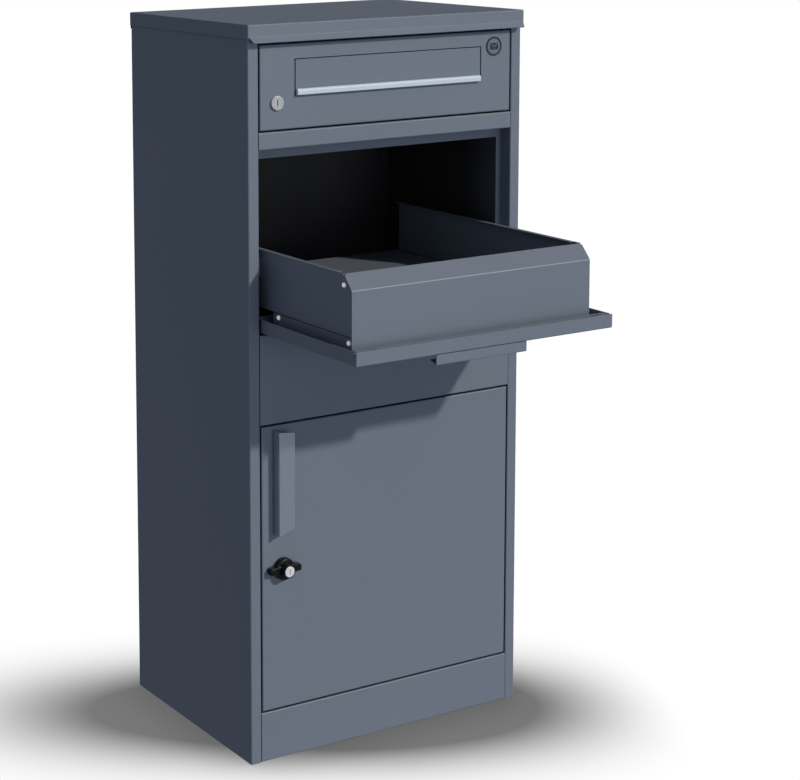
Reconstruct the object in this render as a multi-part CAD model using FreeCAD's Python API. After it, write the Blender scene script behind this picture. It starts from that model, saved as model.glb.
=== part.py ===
import FreeCAD, Part
import os, math
from FreeCAD import Vector as V

os.makedirs("parts", exist_ok=True)

# ---------------------------------------------------------------- driving dimensions (mm)
W = 450.0            # cabinet width over the side panels
D = 310.0            # cabinet depth, stile face to back panel
H = 1000.0           # floor to top of cap
T = 1.2              # sheet thickness
R_IN = 0.9           # inside bend radius
XO = W / 2           # outer face of a side panel
YF = -D / 2          # front plane: stiles, doors, crossbar, middle panel, plinth
YB = D / 2           # back plane
STILE = 16.5         # width of the front stile
XI = XO - STILE      # inner face of a stile, edge of the openings
REVEAL = 21.0        # depth of the reveal behind the front plane
STOP = 8.0           # width of the stop flange round the openings
GAP = 2.0            # gap round the doors
PAN = 18.0           # depth of a door pan

CAP_FRONT = 4.0      # cap overhang at the front
CAP_SIDE = 2.0       # and at the sides; flush at the back so the cabinet can stand against a wall
CAP_SKIRT = 18.7     # side skirt of the cap
CAP_FLARE_Z = 16.0   # top of the flared drip edge below the cap top
CAP_LIP = 23.5       # bottom of the drip edge below the cap top
CAP_FLARE = 7.5      # how far the drip edge kicks forward

Z_PLINTH = 68.8      # top of the plinth
Z_DOOR0, Z_DOOR1 = 70.8, 464.4      # parcel door
Z_MID0 = 466.4       # bottom of the fixed middle panel
Z_BAR0, Z_BAR1 = 834.8, 858.1       # crossbar above the drop opening
Z_MAIL0, Z_MAIL1 = 860.1, 972.5     # mail door
Z_RAIL = 974.5       # underside of the top rail
Z_MAILFLOOR = 846.0  # top face of the mail compartment floor

# drop flap and tray, drawn open (horizontal)
FLAP_A = 13.7                        # pivot height above the flap skin, and pivot depth behind the front plane
FLAP_C = 5.0                         # how far the flap carries on behind its pivot
FLAP_REACH = 213.7                   # how far the open flap stands out from the front plane
PY = YF + FLAP_A
PZ = Z_BAR0 - GAP - (FLAP_REACH + FLAP_A)
FZ = PZ - FLAP_A                     # underside of the flap skin
FLAP_H = 18.4
FLAP_X = XI - 3.0
Z_MID1 = PZ - 16.6                   # top of the middle panel, clear of the flap's swing
TRAY_X = 191.5                       # outer face of a tray side
TRAY_REACH = 184.3
TRAY_BEND = PZ + 74.5
TRAY_TOP = PZ + 93.8
TRAY_CHAMFER = 17.3
TRAY_FLOOR = PZ + 21.0               # top face of the tray floor
TRAY_LOW = PZ + 15.8                 # lower edge of the tray sides
TRAY_REAR = PY + 220.0

PIN_R = 3.0
PIN_HOLE = 3.05

DOOR_PX = XI - GAP - 8.0             # door pivots, 8 mm in from the door edge
DOOR_PY = YF + 5.0

MAIL_LOCK = (-180.6, 895.7)
KNOB = (-174.2, 266.4)
SLOT_X0, SLOT_X1, SLOT_Z0, SLOT_Z1 = -152.1, 155.0, 903.7, 952.3   # cut-out of the mail flap
MF_PY, MF_PZ = YF + 3.5, 947.2       # mail flap pivot

# ---------------------------------------------------------------- helpers
def box(x0, x1, y0, y1, z0, z1):
    x0, x1 = min(x0, x1), max(x0, x1)
    y0, y1 = min(y0, y1), max(y0, y1)
    z0, z1 = min(z0, z1), max(z0, z1)
    return Part.makeBox(x1 - x0, y1 - y0, z1 - z0, V(x0, y0, z0))

def cyl(x, y, z, r, h, axis):
    d = {"x": V(1, 0, 0), "y": V(0, 1, 0), "z": V(0, 0, 1), "-y": V(0, -1, 0)}[axis]
    return Part.makeCylinder(r, h, V(x, y, z), d)

def place(a, b, plane, c=0.0):
    if plane == "YZ":
        return V(c, a, b)
    if plane == "XZ":
        return V(a, c, b)
    return V(a, b, c)

def depth(plane, d):
    return {"YZ": V(d, 0, 0), "XZ": V(0, d, 0), "XY": V(0, 0, d)}[plane]

def prism(pts, plane, c0, c1):
    w = Part.makePolygon([place(a, b, plane, c0) for a, b in pts] + [place(pts[0][0], pts[0][1], plane, c0)])
    return Part.Face(w).extrude(depth(plane, c1 - c0))

def sheet(pts, plane, c0, c1, t=T, r=R_IN):
    """A bent sheet. pts is the outer skin; the metal lies to the right of the walk."""
    n = len(pts)
    a_side, b_side = [], []            # lists of ("p", pt) / ("a", p1, mid, p2)
    def unit(p, q):
        dx, dy = q[0] - p[0], q[1] - p[1]
        l = math.hypot(dx, dy)
        return dx / l, dy / l
    def rn(d):
        return d[1], -d[0]
    d0 = unit(pts[0], pts[1])
    a_side.append(("p", pts[0]))
    b_side.append(("p", (pts[0][0] + rn(d0)[0] * t, pts[0][1] + rn(d0)[1] * t)))
    for i in range(1, n - 1):
        d1, d2 = unit(pts[i - 1], pts[i]), unit(pts[i], pts[i + 1])
        cross = d1[0] * d2[1] - d1[1] * d2[0]
        dot = d1[0] * d2[0] + d1[1] * d2[1]
        phi = math.atan2(abs(cross), dot)
        right = cross < 0
        R = r + t if right else r
        Ro = r if right else r + t
        L = R * math.tan(phi / 2)
        v = pts[i]
        t1 = (v[0] - d1[0] * L, v[1] - d1[1] * L)
        t2 = (v[0] + d2[0] * L, v[1] + d2[1] * L)
        nn = rn(d1) if right else (-rn(d1)[0], -rn(d1)[1])
        c = (t1[0] + nn[0] * R, t1[1] + nn[1] * R)
        k = unit(c, v)
        a_side.append(("a", t1, (c[0] + k[0] * R, c[1] + k[1] * R), t2))
        m1, m2 = rn(d1), rn(d2)
        b_side.append(("a", (t1[0] + m1[0] * t, t1[1] + m1[1] * t), (c[0] + k[0] * Ro, c[1] + k[1] * Ro), (t2[0] + m2[0] * t, t2[1] + m2[1] * t)))
    dl = unit(pts[-2], pts[-1])
    a_side.append(("p", pts[-1]))
    b_side.append(("p", (pts[-1][0] + rn(dl)[0] * t, pts[-1][1] + rn(dl)[1] * t)))
    seq = a_side + [(s[0],) + tuple(reversed(s[1:])) for s in reversed(b_side)]
    edges, last, first = [], None, None
    P = lambda q: place(q[0], q[1], plane, c0)
    for s in seq:
        start = s[1]
        if first is None:
            first = start
        if last is not None and (P(last) - P(start)).Length > 1e-6:
            edges.append(Part.makeLine(P(last), P(start)))
        if s[0] == "a":
            edges.append(Part.Arc(P(s[1]), P(s[2]), P(s[3])).toShape())
            last = s[3]
        else:
            last = s[1]
    edges.append(Part.makeLine(P(last), P(first)))
    return Part.Face(Part.Wire(edges)).extrude(depth(plane, c1 - c0))

def fillet_where(shape, r, test):
    edges = [e for e in shape.Edges if test(e.BoundBox)]
    return shape.makeFillet(r, edges) if edges else shape

def near(a, b):
    return abs(a - b) < 1e-4

def pan(x0, x1, y0, y1, z0, z1, lip=10.0, ro=2.0):
    """A door pan: skin at y0, flanges back to y1, return lip at the back."""
    outer = box(x0, x1, y0, y1, z0, z1)
    outer = fillet_where(outer, ro, lambda b: near(b.YMin, b.YMax) and near(b.YMin, y0))
    inner = box(x0 + T, x1 - T, y0 + T, y1 + 1, z0 + T, z1 - T)
    inner = fillet_where(inner, ro - T, lambda b: near(b.YMin, b.YMax) and near(b.YMin, y0 + T))
    body = outer.cut(inner)
    if lip:
        ring = box(x0 + T / 2, x1 - T / 2, y1 - T, y1, z0 + T / 2, z1 - T / 2).cut(box(x0 + T + lip, x1 - T - lip, y1 - T - 1, y1 + 1, z0 + T + lip, z1 - T - lip))
        body = body.fuse(ring)
    return body

def clean(s):
    try:
        s = s.removeSplitter()
    except Exception:
        pass
    return s

def save(name, shape):
    shape = clean(shape)
    solids = shape.Solids
    assert solids, name
    for s in solids:
        assert s.isValid(), name
    out = solids[0] if len(solids) == 1 else Part.makeCompound(solids)
    out.exportStep("parts/%s.step" % name)
    print("%-28s solids %d  volume %.1f" % (name, len(solids), sum(s.Volume for s in solids)))

def mirror(s):
    return s.mirror(V(0, 0, 0), V(1, 0, 0))

# ---------------------------------------------------------------- cabinet shell
ZT = H - T           # top of the side panels, under the cap
side_path = [(-XI + STOP, YF + REVEAL), (-XI, YF + REVEAL), (-XI, YF), (-XO, YF), (-XO, YB - T), (-XO + 17.0, YB - T)]
side = sheet(side_path, "XY", 0.0, ZT)
side = side.cut(cyl(-XI - 5, PY, PZ, PIN_HOLE, 10, "x"))
save("side_panel_left", side)
save("side_panel_right", mirror(side))

WALL_X, WALL_Z0, WALL_Z1, WALL_R = 150.0, 250.0, 780.0, 4.5
back = box(-XO + 0.6, XO - 0.6, YB - T, YB, 0.0, H - CAP_LIP - 0.3)
for x in (-WALL_X, WALL_X):
    for z in (WALL_Z0, WALL_Z1):
        back = back.cut(cyl(x, YB - 5, z, WALL_R, 10, "y"))
save("back_panel", back)

YI = YF + REVEAL + T + 0.2       # first free plane behind the stop flanges
BX = XO - T - 0.35               # inside the side panels
YR = YB - T - T - 0.35           # in front of the rear flanges
FLOOR_X, FLOOR_Y, FLOOR_R = 150.0, 80.0, 5.5
bottom = box(-BX, BX, YI, YR, 0.0, 15.0)
bottom = fillet_where(bottom, 2.0, lambda b: near(b.ZMin, b.ZMax) and near(b.ZMin, 0.0))
bottom_in = box(-BX + T, BX - T, YI + T, YR - T, T, 20.0)
bottom_in = fillet_where(bottom_in, 0.8, lambda b: near(b.ZMin, b.ZMax) and near(b.ZMin, T))
bottom = bottom.cut(bottom_in)
for x in (-FLOOR_X, FLOOR_X):
    for y in (-FLOOR_Y, FLOOR_Y):
        bottom = bottom.cut(cyl(x, y, -5, FLOOR_R, 20, "z"))
save("bottom_panel", bottom)

# the cap: top, side skirts, deeper front lip with a flared drip edge, deeper back lip
CX, CY0, CY1 = XO + CAP_SIDE, YF - CAP_FRONT, YB
cap = box(-CX, CX, CY0, CY1, H - CAP_SKIRT, H)
cap = fillet_where(cap, 1.6, lambda b: near(b.ZMin, b.ZMax) and near(b.ZMin, H))
cap = fillet_where(cap, 1.2, lambda b: b.ZLength > CAP_SKIRT * 0.6)
cap = cap.cut(box(-CX + T, CX - T, CY0 + T, CY1 - T, H - CAP_SKIRT - 1, H - T))
lip = sheet([(CY0 - CAP_FLARE, H - CAP_LIP), (CY0, H - CAP_FLARE_Z), (CY0, H - 5.0)], "YZ", -CX + 1.2, CX - 1.2)
lip = lip.cut(box(-CX, CX, CY0 - 0.01, CY0 + T + 0.01, H - 6.0, H - 4.0))
lip_cut = prism([(-CX - 1, H - CAP_FLARE_Z + 0.5), (-CX + 1.4, H - CAP_FLARE_Z + 0.5), (-CX + 5.5, H - CAP_LIP - 1), (-CX - 1, H - CAP_LIP - 1)], "XZ", CY0 - 12, CY0 - 0.02)
lip = lip.cut(lip_cut).cut(mirror(lip_cut))
cap = cap.cut(box(-CX + 1.2, CX - 1.2, CY0 - 1, CY0 + T + 0.001, H - CAP_SKIRT - 1, H - 6.0)).fuse(lip)
backlip = box(-CX + 1.2, CX - 1.2, CY1 - T, CY1, H - CAP_LIP, H - CAP_SKIRT + 1)
cap = cap.fuse(backlip)
save("top_cap", cap)

XB = XI - 0.2                    # pieces between the stiles
def front_member(path, x=XB):
    s = sheet(path, "YZ", -x, x)
    for k in (-1, 1):
        s = s.cut(box(k * (XI - STOP - 0.2), k * (x + 1), YF + REVEAL - 0.02, YF + 60, 0, H))
        s = s.cut(box(k * (XI - 1.3), k * (x + 1), YF + REVEAL - 1.0, YF + REVEAL + 1, 0, H))
    return s

plinth = front_member([(YF + REVEAL, 0.0), (YF, 0.0), (YF, Z_PLINTH), (YF + REVEAL, Z_PLINTH), (YF + REVEAL, Z_PLINTH + 11.0)])
plinth = plinth.cut(cyl(DOOR_PX, DOOR_PY, Z_PLINTH - 5, PIN_HOLE, 10, "z"))
save("plinth", plinth)

rail = front_member([(YF + REVEAL, Z_RAIL - 11.0), (YF + REVEAL, Z_RAIL), (YF, Z_RAIL), (YF, ZT), (YF + 14.0, ZT)])
rail = rail.cut(cyl(DOOR_PX, DOOR_PY, Z_RAIL - 5, PIN_HOLE, 10, "z"))
save("top_rail", rail)

bar = front_member([(YF + REVEAL, Z_BAR0 - 14.0), (YF + REVEAL, Z_BAR0), (YF, Z_BAR0), (YF, Z_BAR1), (YF + REVEAL, Z_BAR1), (YF + REVEAL, Z_BAR1 + 11.0)])
bar = bar.cut(cyl(DOOR_PX, DOOR_PY, Z_BAR1 - 5, PIN_HOLE, 10, "z"))
save("crossbar", bar)

# its top edge turns back and up, so the slot under the closed flap is backed
mid = front_member([(YF + REVEAL, Z_MID0 - 10.0), (YF + REVEAL, Z_MID0), (YF, Z_MID0), (YF, Z_MID1), (YF + REVEAL, Z_MID1), (YF + REVEAL, Z_MID1 + 12.0)])
mid = mid.cut(cyl(DOOR_PX, DOOR_PY, Z_MID0 - 5, PIN_HOLE, 10, "z"))
save("middle_panel", mid)

# floor of the mail compartment, flanged up at the front and down at the sides
mf_main = box(-BX, BX, YI, YR, Z_MAILFLOOR - T, Z_MAILFLOOR).fuse(box(-(XI - STOP - 0.2), XI - STOP - 0.2, YI, YI + T, Z_MAILFLOOR - T, Z_MAILFLOOR + 20.0))
for k in (-1, 1):
    mf_main = mf_main.fuse(box(k * (BX - T), k * BX, YI, YR, Z_MAILFLOOR - 14.0, Z_MAILFLOOR))
save("mail_compartment_floor", mf_main)

# ---------------------------------------------------------------- mail door
DX = XI - GAP
md = pan(-DX, DX, YF, YF + PAN, Z_MAIL0, Z_MAIL1)
md = md.cut(box(SLOT_X0, SLOT_X1, YF - 1, YF + T + 1, SLOT_Z0, SLOT_Z1))
# flanges behind the cut-out: a bottom ledge the flap rests against and two ears that carry the hinge pin
EAR = 1.5
for x in (SLOT_X0 - EAR, SLOT_X1):
    md = md.fuse(box(x, x + EAR, YF + T - 0.2, YF + 8.0, MF_PZ - 5.0, SLOT_Z1 + 2.0))
md = md.fuse(box(SLOT_X0 + 2, SLOT_X1 - 2, YF + T + 1.0, YF + 2 * T + 1.0, SLOT_Z0 - 8.0, SLOT_Z0 + 6.0).fuse(
    box(SLOT_X0 + 2, SLOT_X1 - 2, YF + T - 0.2, YF + 2 * T + 1.0, SLOT_Z0 - 8.0, SLOT_Z0 - 8.0 + T)))
md = md.cut(cyl(SLOT_X0 - 5, MF_PY, MF_PZ, 1.5, SLOT_X1 - SLOT_X0 + 10, "x"))
md = md.cut(cyl(MAIL_LOCK[0], YF - 1, MAIL_LOCK[1], 8.0, 6, "y"))
for z in (Z_MAIL0 - 1, Z_MAIL1 - T - 1):
    md = md.cut(cyl(DOOR_PX, DOOR_PY, z, PIN_R, T + 2, "z"))
save("mail_door", md)

def pivot_pin(z_frame, up, r=PIN_R):
    """A headed pivot pin: head inside the door pan, shank through door flange and frame."""
    k = 1 if up else -1
    zh = z_frame - k * (GAP + T)                       # inner face of the door flange
    head = Part.makeCylinder(5.0, 2.5, V(DOOR_PX, DOOR_PY, zh), V(0, 0, -k))
    shank = Part.makeCylinder(r, GAP + T + 8.0, V(DOOR_PX, DOOR_PY, zh), V(0, 0, k))
    return head.fuse(shank)

def washer(z0, z1, ri=3.0, ro=5.0):
    return Part.makeCylinder(ro, z1 - z0, V(DOOR_PX, DOOR_PY, z0), V(0, 0, 1)).cut(
        Part.makeCylinder(ri, z1 - z0 + 2, V(DOOR_PX, DOOR_PY, z0 - 1), V(0, 0, 1)))

# pin heads sit 5 mm behind the skin: trim them flat on the skin side
def trim_front(s):
    skin = box(DOOR_PX - 20, DOOR_PX + 20, YF - 20, YF + T + 0.95, 0, H).cut(cyl(DOOR_PX, DOOR_PY, -1, PIN_R, H + 2, "z"))
    return s.cut(skin)

save("mail_door_pivot_pins", Part.makeCompound([trim_front(pivot_pin(Z_RAIL, True)), trim_front(pivot_pin(Z_BAR1, False))]))
save("mail_door_washers", Part.makeCompound([washer(Z_MAIL1, Z_RAIL - 0.1, ro=4.6), washer(Z_BAR1 + 0.1, Z_MAIL0, ro=4.6)]))

# mail flap with knuckles round its hinge pin
FX0, FX1 = SLOT_X0 + 1.2, SLOT_X1 - 1.2
mflap = box(FX0, FX1, YF, YF + T, SLOT_Z0 + 1.5, SLOT_Z1 - 1.2)
KN = 2.6
for x0, x1 in ((FX0 + 0.5, FX0 + 36.0), (-30.0, -8.0), (8.0, 30.0), (FX1 - 36.0, FX1 - 0.5)):
    kn = cyl(x0, MF_PY, MF_PZ, KN, x1 - x0, "x").fuse(box(x0, x1, YF + T - 0.3, MF_PY, MF_PZ - KN, MF_PZ + KN - 0.6))
    mflap = mflap.fuse(kn)
mflap = mflap.cut(cyl(FX0 - 5, MF_PY, MF_PZ, 1.55, FX1 - FX0 + 10, "x"))
save("mail_flap", mflap)

# aluminium grip lip along the lower edge of the flap: round nosed ledge
LZ0, LZ1 = 904.3, 912.7
lipx0, lipx1 = FX0 + 0.2, FX1 - 2.4
lp = box(lipx0, lipx1, YF - 5.2, YF, LZ0, LZ1)
lp = fillet_where(lp, 3.2, lambda b: near(b.YMin, YF - 5.2) and near(b.YMax, YF - 5.2) and b.XLength > 100 and near(b.ZMin, LZ1))
lp = fillet_where(lp, 1.2, lambda b: near(b.YMin, YF - 5.2) and near(b.YMax, YF - 5.2) and b.XLength > 100 and near(b.ZMin, LZ0))
lp = lp.cut(prism([(YF - 3.9, LZ0 - 1), (YF - 0.0, LZ0 - 1), (YF - 0.0, LZ1 - 3.4), (YF - 3.9, LZ1 - 4.0)], "YZ", lipx0 + 1.5, lipx1 - 1.5))
save("mail_flap_lip", lp)

save("mail_flap_hinge_pin", cyl(SLOT_X0 - EAR - 1.0, MF_PY, MF_PZ, 1.5, SLOT_X1 - SLOT_X0 + 2 * EAR + 2.0, "x"))

# spring round the pin: a helix with two legs
hel = Part.makeHelix(1.1, 13.2, 1.92)
prof = Part.Wire(Part.makeCircle(0.3, V(1.92, 0, 0), V(0, 1, 0)))
sw = Part.Wire(hel).makePipeShell([prof], True, True)
sw.rotate(V(0, 0, 0), V(0, 1, 0), 90)
sw.translate(V(-6.5, MF_PY, MF_PZ))
save("mail_flap_spring", sw)

# cam lock of the mail door
lx, lz = MAIL_LOCK
house = cyl(lx, YF - 3.0, lz, 9.6, 3.0, "y")
house = fillet_where(house, 0.9, lambda b: near(b.YMin, b.YMax) and near(b.YMin, YF - 3.0))
house = house.fuse(cyl(lx, YF, lz, 8.0, 22.0, "y"))
house = house.cut(cyl(lx, YF - 4, lz, 6.05, 40, "y"))
save("mail_lock_housing", house)
nut = prism([(lx + 12.0 * math.cos(math.radians(a)), lz + 12.0 * math.sin(math.radians(a))) for a in range(30, 390, 60)], "XZ", YF + T, YF + T + 4.5)
nut = nut.cut(cyl(lx, YF - 5, lz, 8.0, 40, "y"))
save("mail_lock_nut", nut)
core = cyl(lx, YF - 2.7, lz, 6.0, 25.9, "y").fuse(box(lx - 3.5, lx + 3.5, YF + 23.2, YF + 27.0, lz - 3.5, lz + 3.5))
core = core.cut(box(lx - 0.75, lx + 0.75, YF - 5, YF + 12, lz - 4.2, lz + 4.2))
core = core.cut(cyl(lx, YF + 20, lz, 1.6, 10, "y"))
save("mail_lock_core", core)

def cam(cx, cz, y0, reach, hole=3.5, w=8.0, t=2.0):
    c = box(cx - w, cx + w, y0, y0 + t, cz - w, cz + reach)
    c = fillet_where(c, 6.0, lambda b: b.YLength > t * 0.9)
    return c.cut(box(cx - hole, cx + hole, y0 - 1, y0 + t + 1, cz - hole, cz + hole))

save("mail_lock_cam", cam(lx, lz, YF + 24.4, 32.0))
scr = cyl(lx, YF + 27.0, lz, 4.5, 2.4, "y").fuse(cyl(lx, YF + 20.4, lz, 1.6, 6.6, "y"))
scr = scr.cut(box(lx - 0.5, lx + 0.5, YF + 28.4, YF + 30, lz - 4, lz + 4))
save("mail_lock_cam_screw", scr)

# round plaque with a plain envelope sign
bx, bz, br = 177.4, 951.2, 13.3
bd = cyl(bx, YF - 1.0, bz, br, 1.0, "y").cut(cyl(bx, YF - 1.5, bz, br - 1.6, 1.0, "y"))
env = box(bx - 7.0, bx + 7.0, YF - 1.0, YF - 0.4, bz - 4.6, bz + 4.6).cut(box(bx - 6.0, bx + 6.0, YF - 1.2, YF - 0.3, bz - 3.6, bz + 3.6))
def bar2(p, q, w):
    dx, dz = q[0] - p[0], q[1] - p[1]
    l = math.hypot(dx, dz); nx, nz = -dz / l * w / 2, dx / l * w / 2
    return prism([(p[0] + nx, p[1] + nz), (q[0] + nx, q[1] + nz), (q[0] - nx, q[1] - nz), (p[0] - nx, p[1] - nz)], "XZ", YF - 1.0, YF - 0.4)
env = env.fuse(bar2((bx - 6.4, bz + 4.0), (bx, bz - 0.8), 1.0)).fuse(bar2((bx + 6.4, bz + 4.0), (bx, bz - 0.8), 1.0))
bd = bd.fuse(env)
save("mail_sign_plaque", bd)

# ---------------------------------------------------------------- drop flap (open)
FY0 = YF - FLAP_REACH
FY1 = PY + FLAP_C                      # rear flange, just behind the pivot
flap = box(-FLAP_X, FLAP_X, FY0, FY1, FZ, FZ + FLAP_H)
flap = fillet_where(flap, 1.9, lambda b: near(b.ZMin, b.ZMax) and near(b.ZMin, FZ))
flap = fillet_where(flap, 0.8, lambda b: b.ZLength > FLAP_H * 0.6)
inner = box(-FLAP_X + T, FLAP_X - T, FY0 + T, FY1 - T, FZ + T, FZ + FLAP_H + 1)
inner = fillet_where(inner, 0.7, lambda b: near(b.ZMin, b.ZMax) and near(b.ZMin, FZ + T))
flap = flap.cut(inner)
# return lip along the free edge, with two slots
lipf = box(-FLAP_X + 3.0, FLAP_X - 3.0, FY0 + T / 2, FY0 + 14.0, FZ + FLAP_H - T, FZ + FLAP_H)
for x in (-180.0, 180.0):
    lipf = lipf.cut(box(x - 7.0, x + 7.0, FY0 + 5.5, FY0 + 10.5, FZ + 5, FZ + 30))
flap = flap.fuse(lipf)
# corner relief where side flanges and front flange meet
for k in (-1, 1):
    flap = flap.cut(box(k * (FLAP_X - 2.4), k * (FLAP_X + 1), FY0 + T + 0.3, FY0 + T + 4.2, FZ + FLAP_H - 5.0, FZ + FLAP_H + 1))
    flap = flap.cut(cyl(k * (FLAP_X - T / 2) - 3, PY, PZ, PIN_R, 6, "x"))
save("drop_flap", flap)

# pivot pins of the flap, heads inside the pan
def flap_pin(k):
    x_in = k * (FLAP_X - T)
    x_out = k * (XI + T + 6.0)
    shank = cyl(min(x_in, x_out), PY, PZ, PIN_R, abs(x_out - x_in), "x")
    head = cyl(min(x_in, x_in - k * 2.5), PY, PZ, 3.6, 2.5, "x")
    return shank.fuse(head)
save("flap_pivot_pins", Part.makeCompound([flap_pin(-1), flap_pin(1)]))
def flap_washer(k):
    a, b = k * FLAP_X, k * (XI - 0.2)
    return cyl(min(a, b), PY, PZ, 4.6, abs(b - a), "x").cut(cyl(min(a, b) - 1, PY, PZ, PIN_R, abs(b - a) + 2, "x"))
save("flap_pivot_washers", Part.makeCompound([flap_washer(-1), flap_washer(1)]))

# L-section pull along the free edge: web in line with the front flange, plate below
GX0, GX1, G_STAND, G_PLATE, GT = -83.2, 60.8, 13.3, 24.3, 1.8
web = box(GX0, GX1, FY0, FY0 + GT, FZ - G_STAND, FZ)
plate = prism([(GX0, FY0), (GX1, FY0), (GX1 - 2.0, FY0 + G_PLATE), (GX0 + 9.0, FY0 + G_PLATE)], "XY", FZ - G_STAND, FZ - G_STAND + GT)
grip = web.fuse(plate)
grip = clean(grip)
grip = fillet_where(grip, 1.2, lambda b: b.XLength > 100 and near(b.YMin, FY0) and near(b.YMax, FY0) and near(b.ZMin, FZ - G_STAND))
save("flap_pull", grip)

# tray: two sides, floor, chamfered front
TY0 = YF - TRAY_REACH
TZ0 = FZ + T + 0.3
side_prof = [(TY0 + T + 0.1, TRAY_LOW), (TRAY_REAR, TRAY_LOW), (TRAY_REAR, TRAY_TOP),
             (TY0 + TRAY_CHAMFER + 2.2, TRAY_TOP), (TY0 + T + 0.1, TRAY_BEND - 0.9)]
def tray_side(k):
    s = prism(side_prof, "YZ", k * TRAY_X, k * (TRAY_X - T))
    # out-turned tab that comes to rest behind the stop flange when the flap is fully open
    tab = box(k * (TRAY_X - T), k * (XI - 2.5), YI + 1.3, YI + 1.3 + T, PZ + 58.0, PZ + 84.0)
    tab = fillet_where(tab, 3.0, lambda b: b.YLength > T * 0.9 and abs(b.XMin) > TRAY_X + 3)
    # in-turned rim along the top edge for stiffness
    rim = box(k * (TRAY_X - 7.0), k * TRAY_X, TY0 + TRAY_CHAMFER + 14.0, TRAY_REAR, TRAY_TOP - T, TRAY_TOP)
    return s.fuse(tab).fuse(rim)
tl = tray_side(-1)
tr = tray_side(1)
# screw holes: two in each bracket, one in each side
SCREWS = [(YF - 18.1, PZ + 9.4), (YF - 176.4, PZ + 7.4), (YF - 168.0, TRAY_BEND + 5.3)]
SR = 1.6
for (y, z) in SCREWS[2:]:
    tl = tl.cut(cyl(-TRAY_X - 5, y, z, SR, 10, "x"))
    tr = tr.cut(cyl(TRAY_X - 5, y, z, SR, 10, "x"))
save("tray_side_left", tl)
save("tray_side_right", tr)

# tray floor, edges turned down inside the brackets
BKT = 1.5
BK_OUT = TRAY_X - T - 0.05             # outer face of a bracket leg, against the inside of the tray side
TF_Y0 = TY0 + T + 0.1
floor_x = BK_OUT - BKT - 0.05
tfloor = sheet([(-floor_x, TRAY_FLOOR - 20.0), (-floor_x, TRAY_FLOOR), (floor_x, TRAY_FLOOR), (floor_x, TRAY_FLOOR - 20.0)], "XZ", TF_Y0 + 0.4, TRAY_REAR)
# behind the pivot the turned-down edges stop short of the cabinet's stop flanges
for k in (-1, 1):
    tfloor = tfloor.cut(box(k * (floor_x - 3.0), k * (floor_x + 1.0), YF - 4.0, TRAY_REAR + 1.0, PZ - 20.0, PZ + 17.0))
for (y, z) in SCREWS[:2]:
    for k in (-1, 1):
        tfloor = tfloor.cut(cyl(k * TRAY_X - 5, y, z, SR, 10, "x"))
save("tray_floor", tfloor)

tf = sheet([(TY0, TZ0), (TY0, TRAY_BEND), (TY0 + TRAY_CHAMFER, TRAY_TOP)], "YZ", -TRAY_X, TRAY_X)
tf = tf.cut(box(-TRAY_X - 1, -TRAY_X + 2.5, TY0 + TRAY_CHAMFER - 3.0, TY0 + 60, TRAY_TOP - 2.0, TRAY_TOP + 9))
tf = tf.cut(box(TRAY_X - 2.5, TRAY_X + 1, TY0 + TRAY_CHAMFER - 3.0, TY0 + 60, TRAY_TOP - 2.0, TRAY_TOP + 9))
FL_Z0 = PZ + 27.8                      # the front's side flanges start above the brackets
def chamfer_z(dy):
    return TRAY_BEND + dy * (TRAY_TOP - TRAY_BEND) / TRAY_CHAMFER - 0.8
fl_prof = [(TY0 + T / 2, FL_Z0), (TY0 + 18.0, FL_Z0), (TY0 + 18.0, TRAY_BEND - 3.0), (TY0 + TRAY_CHAMFER + 5.0, TRAY_TOP - 8.0),
           (TY0 + TRAY_CHAMFER - 2.6, chamfer_z(TRAY_CHAMFER - 2.6)), (TY0 + T * 0.9, chamfer_z(T * 0.9) - 0.4)]
for k in (-1, 1):
    f = prism(fl_prof, "YZ", k * (TRAY_X - T - 0.05), k * (TRAY_X - 2 * T - 0.05))
    f = f.fuse(box(k * (TRAY_X - T - 0.06), k * (TRAY_X - 2 * T - 0.05), TY0 + T / 2, TY0 + 2, FL_Z0, TRAY_BEND - 2))
    tf = tf.fuse(f)
    for (y, z) in SCREWS[2:]:
        tf = tf.cut(cyl(k * TRAY_X - 5, y, z, SR, 10, "x"))
save("tray_front", tf)

# angle brackets joining the tray to the flap skin, set back behind the lower edges of the tray sides
BK_Y0, BK_Y1 = YF - 181.9, YF - 5.0
def bracket(k):
    a = box(k * (BK_OUT - BKT), k * BK_OUT, BK_Y0, BK_Y1, FZ + T, PZ + 27.0)
    a = fillet_where(a, 3.0, lambda b: b.XLength > BKT * 0.9 and near(b.ZMin, PZ + 27.0))
    foot = box(k * (BK_OUT - 0.2), k * (BK_OUT + 11.0), BK_Y0, BK_Y1 - 14.0, FZ + T, FZ + T + BKT)
    b = a.fuse(foot)
    for (y, z) in SCREWS[:2]:
        b = b.cut(cyl(k * TRAY_X - 5, y, z, SR, 10, "x"))
    return b
save("tray_bracket_left", bracket(-1))
save("tray_bracket_right", bracket(1))

def screw(k, y, z, x_head):
    """Pan head screw along x, head outside."""
    hd = Part.makeCylinder(3.1, 1.9, V(k * x_head, y, z), V(k, 0, 0))
    hd = fillet_where(hd, 1.2, lambda b: near(b.XMin, b.XMax) and near(abs(b.XMin), x_head + 1.9))
    sh = Part.makeCylinder(SR, 6.5, V(k * x_head, y, z), V(-k, 0, 0))
    s = hd.fuse(sh)
    s = s.cut(box(k * (x_head + 1.0), k * (x_head + 3), y - 0.35, y + 0.35, z - 1.7, z + 1.7)).cut(box(k * (x_head + 1.0), k * (x_head + 3), y - 1.7, y + 1.7, z - 0.35, z + 0.35))
    return s
scs = []
for k in (-1, 1):
    scs += [screw(k, SCREWS[0][0], SCREWS[0][1], BK_OUT), screw(k, SCREWS[1][0], SCREWS[1][1], BK_OUT), screw(k, SCREWS[2][0], SCREWS[2][1], TRAY_X)]
save("tray_screws", Part.makeCompound(scs))

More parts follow.
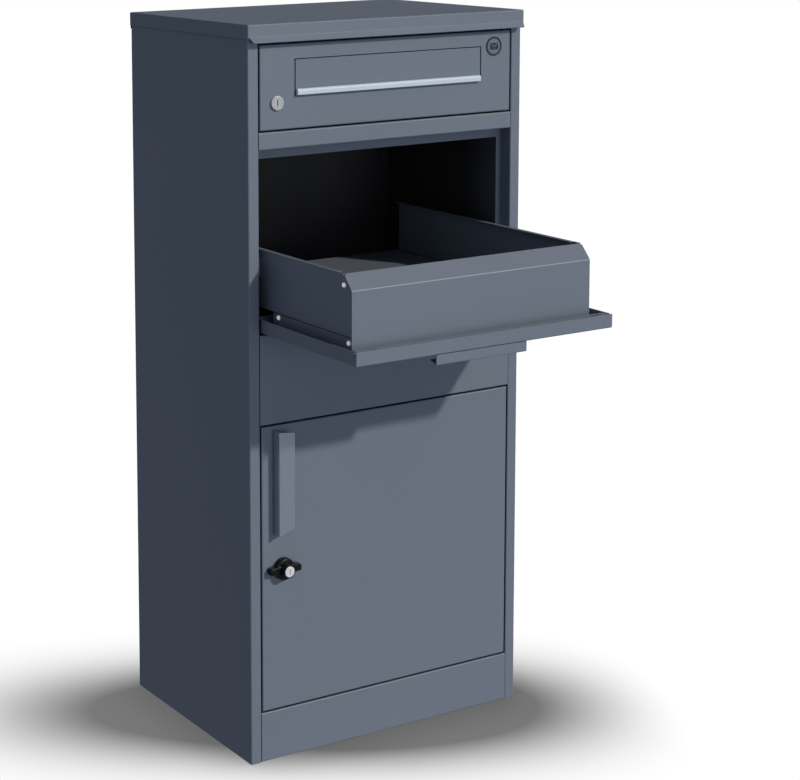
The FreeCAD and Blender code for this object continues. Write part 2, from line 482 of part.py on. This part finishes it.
# ---------------------------------------------------------------- parcel door
pd = pan(-DX, DX, YF, YF + PAN, Z_DOOR0, Z_DOOR1)
kx, kz = KNOB
pd = pd.cut(cyl(kx, YF - 1, kz, 9.0, 6, "y"))
for z in (Z_DOOR0 - 1, Z_DOOR1 - T - 1):
    pd = pd.cut(cyl(DOOR_PX, DOOR_PY, z, PIN_R, T + 2, "z"))
save("parcel_door", pd)
save("parcel_door_pivot_pins", Part.makeCompound([trim_front(pivot_pin(Z_MID0, True)), trim_front(pivot_pin(Z_PLINTH, False))]))
save("parcel_door_washers", Part.makeCompound([washer(Z_DOOR1, Z_MID0 - 0.1, ro=4.6), washer(Z_PLINTH + 0.1, Z_DOOR0, ro=4.6)]))

# hat-section stiffener down the inside of the door
hat = sheet([(-20.0, YF + T), (-12.0, YF + T), (-12.0, YF + T + 10.0), (12.0, YF + T + 10.0), (12.0, YF + T), (20.0, YF + T)][::-1], "XY", Z_DOOR0 + T + 12.0, Z_DOOR1 - T - 12.0, t=1.0, r=0.6)
hb = hat.BoundBox
hat.translate(V(0, (YF + T) - hb.YMin, 0))
save("parcel_door_stiffener", hat)

# L-section handle
HX, HZ0, HZ1, H_STAND = -188.0, 315.2, 458.3, 15.0
hweb = box(HX, HX + GT, YF - H_STAND, YF, HZ0, HZ1)
hplate = prism([(HX, HZ0), (HX + G_PLATE, HZ0 + 9.2), (HX + G_PLATE, HZ1 - 2.8), (HX, HZ1)], "XZ", YF - H_STAND, YF - H_STAND + GT)
hd = clean(hweb.fuse(hplate))
hd = fillet_where(hd, 1.2, lambda b: b.ZLength > 100 and near(b.XMin, HX) and near(b.XMax, HX) and near(b.YMin, YF - H_STAND))
save("parcel_door_handle", hd)

# rotary knob lock
kh = cyl(kx, YF - 1.2, kz, 13.2, 1.2, "y").fuse(cyl(kx, YF, kz, 9.0, 20.0, "y"))
kh = kh.cut(cyl(kx, YF - 4, kz, 6.55, 40, "y"))
save("knob_lock_housing", kh)
knut = prism([(kx + 13.5 * math.cos(math.radians(a)), kz + 13.5 * math.sin(math.radians(a))) for a in range(0, 360, 60)], "XZ", YF + T, YF + T + 5.0)
knut = knut.cut(cyl(kx, YF - 5, kz, 9.0, 40, "y"))
save("knob_lock_nut", knut)

K0, K1, K2 = YF - 1.4, YF - 8.4, YF - 18.0      # back of the wing disc, its front, front of the hub
disc = cyl(kx, K1, kz, 15.2, K0 - K1, "y")
disc = fillet_where(disc, 3.0, lambda b: near(b.YMin, b.YMax) and near(b.YMin, K1))
wing = prism([(kx - 24.4, kz - 3.4), (kx - 23.4, kz - 4.4), (kx - 6, kz - 5.8), (kx + 6, kz - 5.8), (kx + 23.4, kz - 4.4), (kx + 24.4, kz - 3.4),
              (kx + 24.4, kz + 3.4), (kx + 23.4, kz + 4.4), (kx + 6, kz + 5.8), (kx - 6, kz + 5.8), (kx - 23.4, kz + 4.4), (kx - 24.4, kz + 3.4)], "XZ", K1 - 1.6, K0 - 0.4)
try:
    wing = fillet_where(wing, 1.0, lambda b: near(b.YMin, b.YMax) and near(b.YMin, K1 - 1.6))
except Exception:
    pass
hub = cyl(kx, K2, kz, 9.4, K0 - K2, "y")
hub = fillet_where(hub, 1.1, lambda b: near(b.YMin, b.YMax) and near(b.YMin, K2))
shaft = cyl(kx, K0 - 0.5, kz, 6.5, 21.5 + 1.4 + 0.5, "y").fuse(box(kx - 3.5, kx + 3.5, YF + 20, YF + 25.0, kz - 3.5, kz + 3.5))
knob = disc.fuse(wing).fuse(hub).fuse(shaft)
knob = knob.cut(cyl(kx, K2 - 1, kz, 7.4, 17.0, "y"))
knob = knob.cut(cyl(kx, YF + 14, kz, 1.6, 20, "y"))
save("lock_knob", knob)
kc = cyl(kx, K2 - 0.6, kz, 7.35, 15.0, "y")
kc = fillet_where(kc, 0.5, lambda b: near(b.YMin, b.YMax) and near(b.YMin, K2 - 0.6))
kc = kc.cut(box(kx - 0.6, kx + 0.6, K2 - 3, K2 + 12, kz - 3.9, kz + 3.9))
save("knob_key_core", kc)
save("knob_lock_cam", cam(kx, kz, YF + 22.4, 38.0))
ks = cyl(kx, YF + 25.0, kz, 4.5, 2.4, "y").fuse(cyl(kx, YF + 14.5, kz, 1.6, 10.5, "y"))
ks = ks.cut(box(kx - 0.5, kx + 0.5, YF + 26.4, YF + 28, kz - 4, kz + 4))
save("knob_cam_screw", ks)
print("pivot", PY, PZ, "door pivot", DOOR_PX, DOOR_PY, "mail flap pivot", MF_PY, MF_PZ)
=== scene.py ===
import bpy, math
from mathutils import Matrix, Vector


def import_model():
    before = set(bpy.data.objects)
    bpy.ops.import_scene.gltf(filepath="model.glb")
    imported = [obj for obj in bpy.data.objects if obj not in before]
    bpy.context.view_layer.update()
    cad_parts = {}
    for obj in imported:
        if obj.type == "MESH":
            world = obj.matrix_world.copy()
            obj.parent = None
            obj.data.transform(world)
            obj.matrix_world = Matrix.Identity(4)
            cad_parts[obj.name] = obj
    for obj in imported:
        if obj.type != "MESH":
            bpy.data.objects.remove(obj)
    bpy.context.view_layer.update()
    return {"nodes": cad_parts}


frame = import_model()
nodes = frame["nodes"]
scene = bpy.context.scene

# ------------------------------------------------------------------ node helpers
class Tree:
    def __init__(self, name):
        self.mat = bpy.data.materials.new(name)
        self.mat.use_nodes = True
        self.t = self.mat.node_tree
        self.t.nodes.clear()
        self.out = self.add("ShaderNodeOutputMaterial")

    def add(self, kind, **props):
        n = self.t.nodes.new(kind)
        for k, v in props.items():
            setattr(n, k, v)
        return n

    def link(self, a, b):
        self.t.links.new(a, b)

    def put(self, socket, value):
        if hasattr(value, "is_output") or isinstance(value, bpy.types.NodeSocket):
            self.link(value, socket)
        else:
            if socket.type == "RGBA" and len(value) == 3:
                value = (*value, 1.0)
            socket.default_value = value

    def coords(self, scale=(1, 1, 1), rot=(0, 0, 0)):
        tc = self.add("ShaderNodeTexCoord")
        mp = self.add("ShaderNodeMapping")
        mp.inputs["Scale"].default_value = scale
        mp.inputs["Rotation"].default_value = rot
        self.link(tc.outputs["Object"], mp.inputs["Vector"])
        return mp.outputs["Vector"]

    def noise(self, vec, scale, detail=2.0, rough=0.5, dist=0.0):
        n = self.add("ShaderNodeTexNoise")
        self.link(vec, n.inputs["Vector"])
        n.inputs["Scale"].default_value = scale
        n.inputs["Detail"].default_value = detail
        n.inputs["Roughness"].default_value = rough
        n.inputs["Distortion"].default_value = dist
        return n.outputs["Fac"]

    def remap(self, val, a, b, c, d, smooth=False):
        n = self.add("ShaderNodeMapRange")
        if smooth:
            n.interpolation_type = "SMOOTHSTEP"
        self.put(n.inputs["Value"], val)
        for key, v in (("From Min", a), ("From Max", b), ("To Min", c), ("To Max", d)):
            n.inputs[key].default_value = v
        return n.outputs["Result"]

    def math(self, op, a, b=0.0, c=0.0, clamp=False):
        n = self.add("ShaderNodeMath", operation=op, use_clamp=clamp)
        self.put(n.inputs[0], a)
        self.put(n.inputs[1], b)
        if len(n.inputs) > 2:
            self.put(n.inputs[2], c)
        return n.outputs[0]

    def mix(self, fac, a, b, blend="MIX"):
        n = self.add("ShaderNodeMix", data_type="RGBA", blend_type=blend)
        self.put(n.inputs[0], fac)
        self.put(n.inputs[6], a)
        self.put(n.inputs[7], b)
        return n.outputs[2]

    def scale_colour(self, col, fac):
        n = self.add("ShaderNodeVectorMath", operation="SCALE")
        self.put(n.inputs[0], col if not isinstance(col, tuple) else col)
        self.put(n.inputs[3], fac)
        return n.outputs[0]

    def bump(self, height, distance, strength=1.0, normal=None):
        n = self.add("ShaderNodeBump")
        n.inputs["Strength"].default_value = strength
        n.inputs["Distance"].default_value = distance
        self.link(height, n.inputs["Height"])
        if normal is not None:
            self.link(normal, n.inputs["Normal"])
        return n.outputs["Normal"]

    def bevel(self, radius, samples=4):
        n = self.add("ShaderNodeBevel", samples=samples)
        n.inputs["Radius"].default_value = radius
        return n.outputs["Normal"]

    def edge(self, bevel_normal):
        """0 on flats, rising to 1 where the bevelled normal leaves the true one."""
        g = self.add("ShaderNodeNewGeometry")
        d = self.add("ShaderNodeVectorMath", operation="DOT_PRODUCT")
        self.link(bevel_normal, d.inputs[0])
        self.link(g.outputs["True Normal"], d.inputs[1])
        return self.remap(d.outputs["Value"], 1.0, 0.80, 0.0, 1.0)

    def crevice(self, distance, samples=6):
        """1 in the open, falling towards 0 where faces meet or parts nearly touch."""
        n = self.add("ShaderNodeAmbientOcclusion", samples=samples, only_local=False)
        n.inputs["Distance"].default_value = distance
        return n.outputs["AO"]

    def axis(self, name):
        """One object-space coordinate in metres."""
        tc = self.add("ShaderNodeTexCoord")
        sp = self.add("ShaderNodeSeparateXYZ")
        self.link(tc.outputs["Object"], sp.inputs[0])
        return sp.outputs[name]

    def finish(self, **inputs):
        b = self.add("ShaderNodeBsdfPrincipled")
        for k, v in inputs.items():
            self.put(b.inputs[k.replace("_", " ")], v)
        self.link(b.outputs[0], self.out.inputs["Surface"])
        return self.mat


# ------------------------------------------------------------------ finishes
POWDER = (0.158, 0.186, 0.230)
HANDLE = (0.505, 0.555, 0.615)

def powder_coat(name="powder_coat_anthracite", inside=False, bracket=False, tray=False, slot=False):
    """Satin anthracite powder coat: orange peel, fine pigment grain, slow tone drift, slightly burnished edges,
    painted shade in crevices and painted light rising towards the top.
    """
    t = Tree(name)
    v = t.coords()
    slow = t.noise(v, 3.2, 2.0, 0.55)
    mott = t.noise(v, 42.0, 3.0, 0.55)
    grain = t.noise(v, 1500.0, 2.0, 0.6)
    peel = t.noise(v, 330.0, 2.0, 0.45)
    fine = t.noise(v, 1150.0, 2.0, 0.5)
    bev = t.bevel(0.0005, 4)
    edge = t.edge(bev)
    lum = t.math("ADD", t.remap(slow, 0.3, 0.7, 0.985, 1.012), t.remap(mott, 0.3, 0.7, -0.008, 0.008))
    lum = t.math("ADD", lum, t.remap(grain, 0.25, 0.75, -0.035, 0.035))
    # painted light: the coat is drawn lighter towards the top and darker towards the bottom
    lum = t.math("MULTIPLY", lum, t.remap(t.axis("Z"), 0.15, 0.97, 0.990, 1.045))
    col = t.scale_colour(POWDER, lum)
    wear = t.math("MULTIPLY", edge, t.remap(t.noise(v, 75.0, 4.0, 0.65), 0.42, 0.66, 0.15, 1.0))
    col = t.mix(t.math("MULTIPLY", wear, 0.22), col, (0.26, 0.295, 0.345))
    # painted shade: the coat is darkened in crevices where faces meet or parts nearly touch, milder on the brackets
    crevice_shade = t.remap(t.crevice(0.0065), 0.25, 0.72, 0.72 if bracket else 0.20, 1.0, smooth=True)
    col = t.scale_colour(col, crevice_shade)
    spec = 0.42
    if inside:
        # painted shade on the inner faces of the cabinet, deepening away from the opening; the specular level drops
        # with it
        x = t.math("ABSOLUTE", t.axis("X"))
        within = t.math("MULTIPLY", t.math("LESS_THAN", x, 0.22440), t.math("LESS_THAN", t.axis("Y"), 0.1544))
        within = t.math("MULTIPLY", within, t.math("LESS_THAN", t.axis("Z"), 0.9985))
        depth = t.remap(t.axis("Y"), -0.1500, -0.0300, 0.0, 1.0, smooth=True)
        painted_inner_shade = t.math("MULTIPLY", within, depth)
        col = t.mix(painted_inner_shade, col, (0.046, 0.0435, 0.0445))
        spec = t.remap(painted_inner_shade, 0.0, 1.0, 0.42, 0.12)
    if slot:
        # the cut ends of the letter slot lie in shadow
        x, z = t.axis("X"), t.axis("Z")
        ends = t.math("ADD", t.math("COMPARE", x, -0.15240, 0.00036), t.math("COMPARE", x, 0.15530, 0.00036))
        ends = t.math("MULTIPLY", ends, t.math("COMPARE", z, 0.92800, 0.02430))
        col = t.scale_colour(col, t.remap(ends, 0.0, 1.0, 1.0, 0.12))
    if tray:
        # painted highlight along the bend, and painted shade on the slope above it, which is drawn 11.5 % darker
        z = t.axis("Z")
        col = t.scale_colour(col, t.remap(z, 0.67950, 0.68050, 1.0, 0.885))
        bend_highlight = t.math("MULTIPLY", t.remap(z, 0.67900, 0.67945, 0.0, 1.0), t.remap(z, 0.67990, 0.68040, 1.0, 0.0))
        col = t.mix(t.math("MULTIPLY", bend_highlight, 0.75), col, (0.34, 0.38, 0.43))
    if bracket:
        # shadowed line just under the lower edge of the tray side
        col = t.scale_colour(col, t.remap(t.axis("Z"), 0.61900, 0.61970, 1.0, 0.06))
    rough = t.math("ADD", t.remap(slow, 0.3, 0.7, 0.43, 0.50), t.remap(grain, 0.25, 0.75, -0.04, 0.04))
    rough = t.math("SUBTRACT", rough, t.math("MULTIPLY", wear, 0.08))
    n1 = t.bump(peel, 0.00016, 0.55, bev)
    n2 = t.bump(fine, 0.00005, 0.55, n1)
    return t.finish(Base_Color=col, Roughness=rough, Normal=n2, Specular_IOR_Level=spec)

def satin_aluminium():
    """Satin anodised handle section: drawing lines along its length, and a painted highlight along its bent edges.
    """
    t = Tree("satin_aluminium_anodised")
    v = t.coords()
    lines = t.noise(t.coords((900.0, 1500.0, 14.0)), 1.0, 3.0, 0.6)
    broad = t.noise(v, 28.0, 2.0)
    bev = t.bevel(0.0006, 6)
    edge = t.edge(bev)
    lum = t.math("ADD", t.remap(lines, 0.3, 0.7, 0.97, 1.02), t.remap(broad, 0.3, 0.7, -0.015, 0.015))
    col = t.scale_colour(HANDLE, lum)
    # painted highlight: the edges are mixed towards a pale colour
    col = t.mix(t.math("MULTIPLY", edge, 0.5), col, (0.90, 0.93, 0.96))
    rough = t.remap(lines, 0.3, 0.7, 0.22, 0.28)
    n = t.bump(lines, 0.00002, 0.4, bev)
    return t.finish(Base_Color=col, Metallic=0.85, Roughness=rough, Normal=n)

def lip_aluminium():
    """Matt anodised lip of the letter flap, drawing lines along X."""
    t = Tree("matt_aluminium_lip")
    v = t.coords()
    lines = t.noise(t.coords((6.0, 1800.0, 1800.0)), 1.0, 3.0, 0.6)
    broad = t.noise(v, 28.0, 2.0)
    lum = t.math("ADD", t.remap(lines, 0.3, 0.7, 0.97, 1.02), t.remap(broad, 0.3, 0.7, -0.015, 0.015))
    col = t.scale_colour((0.58, 0.66, 0.75), lum)
    n = t.bump(lines, 0.00002, 0.4, t.bevel(0.0003, 4))
    return t.finish(Base_Color=col, Metallic=0.10, Roughness=t.remap(lines, 0.3, 0.7, 0.52, 0.62), Normal=n, Specular_IOR_Level=0.35)

def zinc_steel(name="zinc_plated_steel", glint=0.0):
    """Bright zinc plating: faint bluish passivation and small tone flecks."""
    t = Tree(name)
    v = t.coords()
    fleck = t.noise(v, 420.0, 3.0, 0.6)
    drift = t.noise(v, 60.0, 2.0)
    tint = t.mix(t.remap(drift, 0.35, 0.65, 0.0, 1.0), (0.80, 0.83, 0.88), (0.86, 0.85, 0.81))
    col = t.scale_colour(tint, t.remap(fleck, 0.3, 0.7, 0.90, 1.06))
    n = t.bump(fleck, 0.00002, 0.5, t.bevel(0.00025, 4))
    # with glint above zero the plating glows in its own colour: a painted highlight
    return t.finish(Base_Color=col, Metallic=0.15, Roughness=t.remap(fleck, 0.3, 0.7, 0.24, 0.40), Normal=n,
                    Emission_Color=col, Emission_Strength=glint)

def spring_steel():
    t = Tree("spring_steel_wire")
    v = t.coords()
    f = t.noise(v, 900.0, 2.0)
    return t.finish(Base_Color=t.scale_colour((0.34, 0.33, 0.31), t.remap(f, 0.3, 0.7, 0.9, 1.1)), Metallic=0.95,
                    Roughness=t.remap(f, 0.3, 0.7, 0.26, 0.38), Normal=t.bump(f, 0.00001, 0.4))

def nickel(name="nickel_turned", base=(0.86, 0.86, 0.85)):
    """Nickel plated lock faces with fine turning flecks."""
    t = Tree(name)
    v = t.coords()
    f = t.noise(v, 700.0, 3.0, 0.6)
    soft = t.noise(v, 120.0, 2.0)
    col = t.scale_colour(base, t.remap(f, 0.3, 0.7, 0.92, 1.04))
    n = t.bump(f, 0.000015, 0.5, t.bevel(0.0003, 4))
    return t.finish(Base_Color=col, Metallic=0.30, Roughness=t.remap(soft, 0.3, 0.7, 0.30, 0.42), Normal=n)

def nylon():
    """Black nylon bearing washers."""
    t = Tree("nylon_black")
    v = t.coords()
    f = t.noise(v, 500.0, 2.0)
    return t.finish(Base_Color=t.scale_colour((0.014, 0.014, 0.015), t.remap(f, 0.3, 0.7, 0.9, 1.1)), Roughness=0.5,
                    Normal=t.bump(f, 0.00003, 0.4, t.bevel(0.0002, 4)))

def black_plastic():
    """Moulded glass-filled nylon with a fine eroded grain."""
    t = Tree("black_moulded_plastic")
    v = t.coords()
    vor = t.add("ShaderNodeTexVoronoi", feature="SMOOTH_F1")
    t.link(v, vor.inputs["Vector"])
    vor.inputs["Scale"].default_value = 1500.0
    grain = vor.outputs["Distance"]
    drift = t.noise(v, 90.0, 2.0)
    bev = t.bevel(0.0006, 4)
    edge = t.edge(bev)
    col = t.mix(t.math("MULTIPLY", edge, 0.35), t.scale_colour((0.0040, 0.0042, 0.0048), t.remap(drift, 0.3, 0.7, 0.85, 1.15)), (0.012, 0.012, 0.013))
    return t.finish(Base_Color=col, Roughness=t.remap(drift, 0.3, 0.7, 0.30, 0.40), Normal=t.bump(grain, 0.00004, 0.35, bev),
                    Specular_IOR_Level=0.26)

def sign_dark():
    """Round sign: dark enamel on the raised ring and envelope, coating colour in the sunk field."""
    t = Tree("enamel_sign")
    v = t.coords()
    f = t.noise(v, 600.0, 2.0)
    raised = t.remap(t.axis("Y"), -0.15582, -0.15570, 1.0, 0.0)
    dx = t.math("SUBTRACT", t.axis("X"), 0.1774)
    dz = t.math("SUBTRACT", t.axis("Z"), 0.9512)
    r = t.math("SQRT", t.math("ADD", t.math("MULTIPLY", dx, dx), t.math("MULTIPLY", dz, dz)))
    ring = t.remap(r, 0.01045, 0.01060, 0.0, 1.0)
    inside = t.math("MULTIPLY", t.remap(t.math("ABSOLUTE", dx), 0.00700, 0.00712, 1.0, 0.0), t.remap(t.math("ABSOLUTE", dz), 0.00460, 0.00472, 1.0, 0.0))
    # the envelope is filled, its raised flap lines are left in the coating colour
    body = t.math("MULTIPLY", inside, t.math("SUBTRACT", 1.0, t.math("MULTIPLY", raised, t.remap(t.math("ABSOLUTE", dx), 0.00590, 0.00600, 1.0, 0.0))))
    body = t.math("MAXIMUM", body, t.math("MULTIPLY", inside, t.remap(t.math("ABSOLUTE", dz), 0.00352, 0.00362, 0.0, 1.0)))
    raised = t.math("MAXIMUM", ring, body)
    field = t.scale_colour(POWDER, t.remap(f, 0.3, 0.7, 0.90, 0.98))
    ink = t.scale_colour((0.030, 0.034, 0.042), t.remap(f, 0.3, 0.7, 0.85, 1.2))
    return t.finish(Base_Color=t.mix(raised, field, ink), Roughness=0.42,
                    Normal=t.bump(f, 0.00002, 0.4, t.bevel(0.0002, 4)))

finishes = {"powder_coat": powder_coat(), "satin_aluminium": satin_aluminium(), "zinc_steel": zinc_steel(),
            "spring_steel": spring_steel(), "nickel": nickel(), "nylon": nylon(), "black_plastic": black_plastic(),
            "sign_dark": sign_dark()}
lip_finish = lip_aluminium()
inside_shade_finish = powder_coat("powder_coat_inside_shade", inside=True)
bracket_finish = powder_coat("powder_coat_bracket", bracket=True)
INSIDE = ("side_panel_left", "side_panel_right", "back_panel", "bottom_panel", "mail_compartment_floor")
cam_lock_finish = nickel("nickel_dull", (0.56, 0.56, 0.56))
CAM_LOCK = ("mail_lock_housing", "mail_lock_core")
# the screws glow faintly in their own colour: a painted highlight
screw_finish = zinc_steel("zinc_plated_screws", 0.30)
tray_finish = powder_coat("powder_coat_tray_front", tray=True)
door_finish = powder_coat("powder_coat_mail_door", slot=True)
BRACKETS = ("tray_bracket_left", "tray_bracket_right")

def finish_of(node, slot):
    if node == "mail_flap_lip":
        return lip_finish
    if node == "parcel_door_handle":
        return finishes["satin_aluminium"]
    if node == "tray_front":
        return tray_finish
    if node == "mail_door" and slot == "powder_coat":
        return door_finish
    if node == "tray_screws":
        return screw_finish
    if slot == "nickel" and node in CAM_LOCK:
        return cam_lock_finish
    if slot == "powder_coat" and node in INSIDE:
        return inside_shade_finish
    if slot == "powder_coat" and node in BRACKETS:
        return bracket_finish
    return finishes[slot]

for n, o in nodes.items():
    for i, m in enumerate(o.data.materials):
        key = m.name.split(".")[0]
        o.data.materials[i] = finish_of(n, key)

# ------------------------------------------------------------------ floor, light, camera
def floor():
    me = bpy.data.meshes.new("floor")
    n, r = 96, 14.0
    vs = [(0, 0, 0)] + [(r * math.cos(2 * math.pi * i / n), r * math.sin(2 * math.pi * i / n), 0) for i in range(n)]
    me.from_pydata(vs, [], [(0, 1 + i, 1 + (i + 1) % n) for i in range(n)])
    o = bpy.data.objects.new("studio_floor", me)
    o.location.z = -0.0004
    scene.collection.objects.link(o)
    t = Tree("studio_floor_white")
    # soft shadow lying under the cabinet: a blurred band across the direction (0.472, 0.882), plus a little contact shadow
    x, y = t.axis("X"), t.axis("Y")
    along = t.math("ADD", t.math("MULTIPLY", x, 0.47199), t.math("MULTIPLY", y, 0.88160))
    across = t.math("SUBTRACT", t.math("MULTIPLY", x, 0.88160), t.math("MULTIPLY", y, 0.47199))
    q = t.math("DIVIDE", t.math("ADD", along, 0.0592), 0.1004)
    bell = t.math("EXPONENT", t.math("MULTIPLY", t.math("MULTIPLY", q, q), -0.5))
    width = t.math("MULTIPLY", t.remap(across, -0.6592, 0.1452, 0.0, 1.0, smooth=True), t.remap(across, 0.5218, -0.0412, 0.0, 1.0, smooth=True))
    dark = t.math("MINIMUM", t.math("MULTIPLY", t.math("MULTIPLY", bell, width), 1.5544), 0.535)
    ao = t.add("ShaderNodeAmbientOcclusion", samples=12, only_local=False)
    ao.inputs["Distance"].default_value = 0.09
    near = t.remap(ao.outputs["AO"], 0.45, 0.95, 0.86, 1.0)
    grey = t.math("MULTIPLY", t.math("SUBTRACT", 1.0, dark), near)
    lin = t.math("POWER", t.math("DIVIDE", t.math("ADD", grey, 0.055), 1.055), 2.4)
    drift = t.remap(t.noise(t.coords(), 3.0, 2.0), 0.3, 0.7, 1.0, 1.02)
    lin = t.math("MULTIPLY", lin, drift)
    cam_e = t.add("ShaderNodeEmission")
    cc = t.add("ShaderNodeCombineColor")
    for k in range(3):
        t.link(lin, cc.inputs[k])
    t.link(cc.outputs[0], cam_e.inputs["Color"])
    cam_e.inputs["Strength"].default_value = 1.01
    low = t.add("ShaderNodeEmission")
    low.inputs["Color"].default_value = (0.170, 0.191, 0.230, 1)
    shine = t.add("ShaderNodeEmission")
    shine.inputs["Color"].default_value = (0.205, 0.228, 0.262, 1)
    lp = t.add("ShaderNodeLightPath")
    gl = t.add("ShaderNodeMixShader")
    t.link(lp.outputs["Is Glossy Ray"], gl.inputs[0])
    t.link(low.outputs[0], gl.inputs[1])
    t.link(shine.outputs[0], gl.inputs[2])
    mx = t.add("ShaderNodeMixShader")
    t.link(lp.outputs["Is Camera Ray"], mx.inputs[0])
    t.link(gl.outputs[0], mx.inputs[1])
    t.link(cam_e.outputs[0], mx.inputs[2])
    t.link(mx.outputs[0], t.out.inputs["Surface"])
    me.materials.append(t.mat)
    o.visible_shadow = False
    return o

floor_obj = floor()

def world():
    w = bpy.data.worlds.new("studio_world")
    scene.world = w
    w.use_nodes = True
    nt = w.node_tree
    nt.nodes.clear()
    out = nt.nodes.new("ShaderNodeOutputWorld")
    lp = nt.nodes.new("ShaderNodeLightPath")
    white = nt.nodes.new("ShaderNodeBackground")
    white.inputs["Color"].default_value = (1, 1, 1, 1)
    soft = nt.nodes.new("ShaderNodeBackground")
    # brighter on the side of the front, dimmer behind
    tc = nt.nodes.new("ShaderNodeTexCoord")
    sp = nt.nodes.new("ShaderNodeSeparateXYZ")
    nt.links.new(tc.outputs["Generated"], sp.inputs[0])
    mr = nt.nodes.new("ShaderNodeMapRange")
    mr.interpolation_type = "SMOOTHSTEP"
    nt.links.new(sp.outputs["Y"], mr.inputs["Value"])
    for k, v in (("From Min", -0.35), ("From Max", 0.55), ("To Min", 1.18), ("To Max", 0.58)):
        mr.inputs[k].default_value = v
    soft.inputs["Color"].default_value = (0.183, 0.208, 0.252, 1)
    nt.links.new(mr.outputs["Result"], soft.inputs["Strength"])
    mx = nt.nodes.new("ShaderNodeMixShader")
    nt.links.new(lp.outputs["Is Camera Ray"], mx.inputs[0])
    nt.links.new(soft.outputs[0], mx.inputs[1])
    nt.links.new(white.outputs[0], mx.inputs[2])
    nt.links.new(mx.outputs[0], out.inputs["Surface"])

world()

def aim(az, el):
    a, e = math.radians(az), math.radians(el)
    return Vector((math.sin(a) * math.cos(e), -math.cos(a) * math.cos(e), math.sin(e)))

def sun(name, az, el, strength, angle, colour):
    d = bpy.data.lights.new(name, "SUN")
    d.energy, d.angle, d.color = strength, math.radians(angle), colour
    o = bpy.data.objects.new(name, d)
    back = aim(az, el)
    o.location = back * 4.0 + Vector((0, 0, 0.5))
    o.rotation_euler = (-back).to_track_quat("-Z", "Y").to_euler()
    scene.collection.objects.link(o)
    return o

key = sun("key_light", 30.0, 32.0, 2.15, 2.5, (1.0, 0.950, 0.875))
fill = sun("front_fill", 5.0, -1.0, 0.54, 28.0, (0.90, 0.97, 1.10))
back = sun("back_fill", 165.0, 1.0, 0.70, 20.0, (0.92, 0.97, 1.08))

# camera: the picture is the lower right part of a wider view, so the lens is shifted
AZ, EL, ROLL = map(math.radians, (-28.1637, 6.9627, -0.8249))
FOCAL, CX, CY = 1973.8047, 108.1932, 118.2982       # in pixels of an 800 x 780 picture
EYE = Vector((-1.5811958, -2.3051613, 1.1910907))
d = Vector((math.sin(AZ) * math.cos(EL), -math.cos(AZ) * math.cos(EL), math.sin(EL)))
fw = -d
right = fw.cross(Vector((0, 0, 1))).normalized()
up = right.cross(fw)
cx = math.cos(ROLL) * right + math.sin(ROLL) * up
cy = -math.sin(ROLL) * right + math.cos(ROLL) * up
cd = bpy.data.cameras.new("camera")
cd.sensor_width = 36.0
cd.lens = FOCAL * 36.0 / 800.0
cd.clip_start, cd.clip_end = 0.05, 60.0
cam = bpy.data.objects.new("camera", cd)
m = Matrix((cx, cy, d)).transposed().to_4x4()
m.translation = EYE
cam.matrix_world = m
scene.collection.objects.link(cam)
scene.camera = cam

def shift_here(prop, value):
    """The lens shift belongs to this viewpoint only: it drops to zero once the camera stands elsewhere."""
    fc = cd.driver_add(prop)
    fc.driver.type = "SUM"
    copies = 16                                      # the same coordinate summed, so the curve below is narrow in metres
    for _ in range(copies):
        var = fc.driver.variables.new()
        var.type = "TRANSFORMS"
        var.targets[0].id = cam
        var.targets[0].transform_type = "LOC_X"
        var.targets[0].transform_space = "WORLD_SPACE"
    for mod in list(fc.modifiers):
        fc.modifiers.remove(mod)
    while len(fc.keyframe_points):
        fc.keyframe_points.remove(fc.keyframe_points[0])
    at = EYE.x * copies
    for x, v in ((at - 0.030, 0.0), (at - 0.015, value), (at + 0.015, value), (at + 0.030, 0.0)):
        kp = fc.keyframe_points.insert(x, v)
        kp.interpolation = "LINEAR"
    fc.extrapolation = "CONSTANT"

shift_here("shift_x", (400.0 - CX) / 800.0)
shift_here("shift_y", (CY - 390.0) / 800.0)
scene.view_settings.view_transform = "Standard"
scene.view_settings.look = "None"
scene.view_settings.exposure = 0.0
scene.view_settings.gamma = 1.0
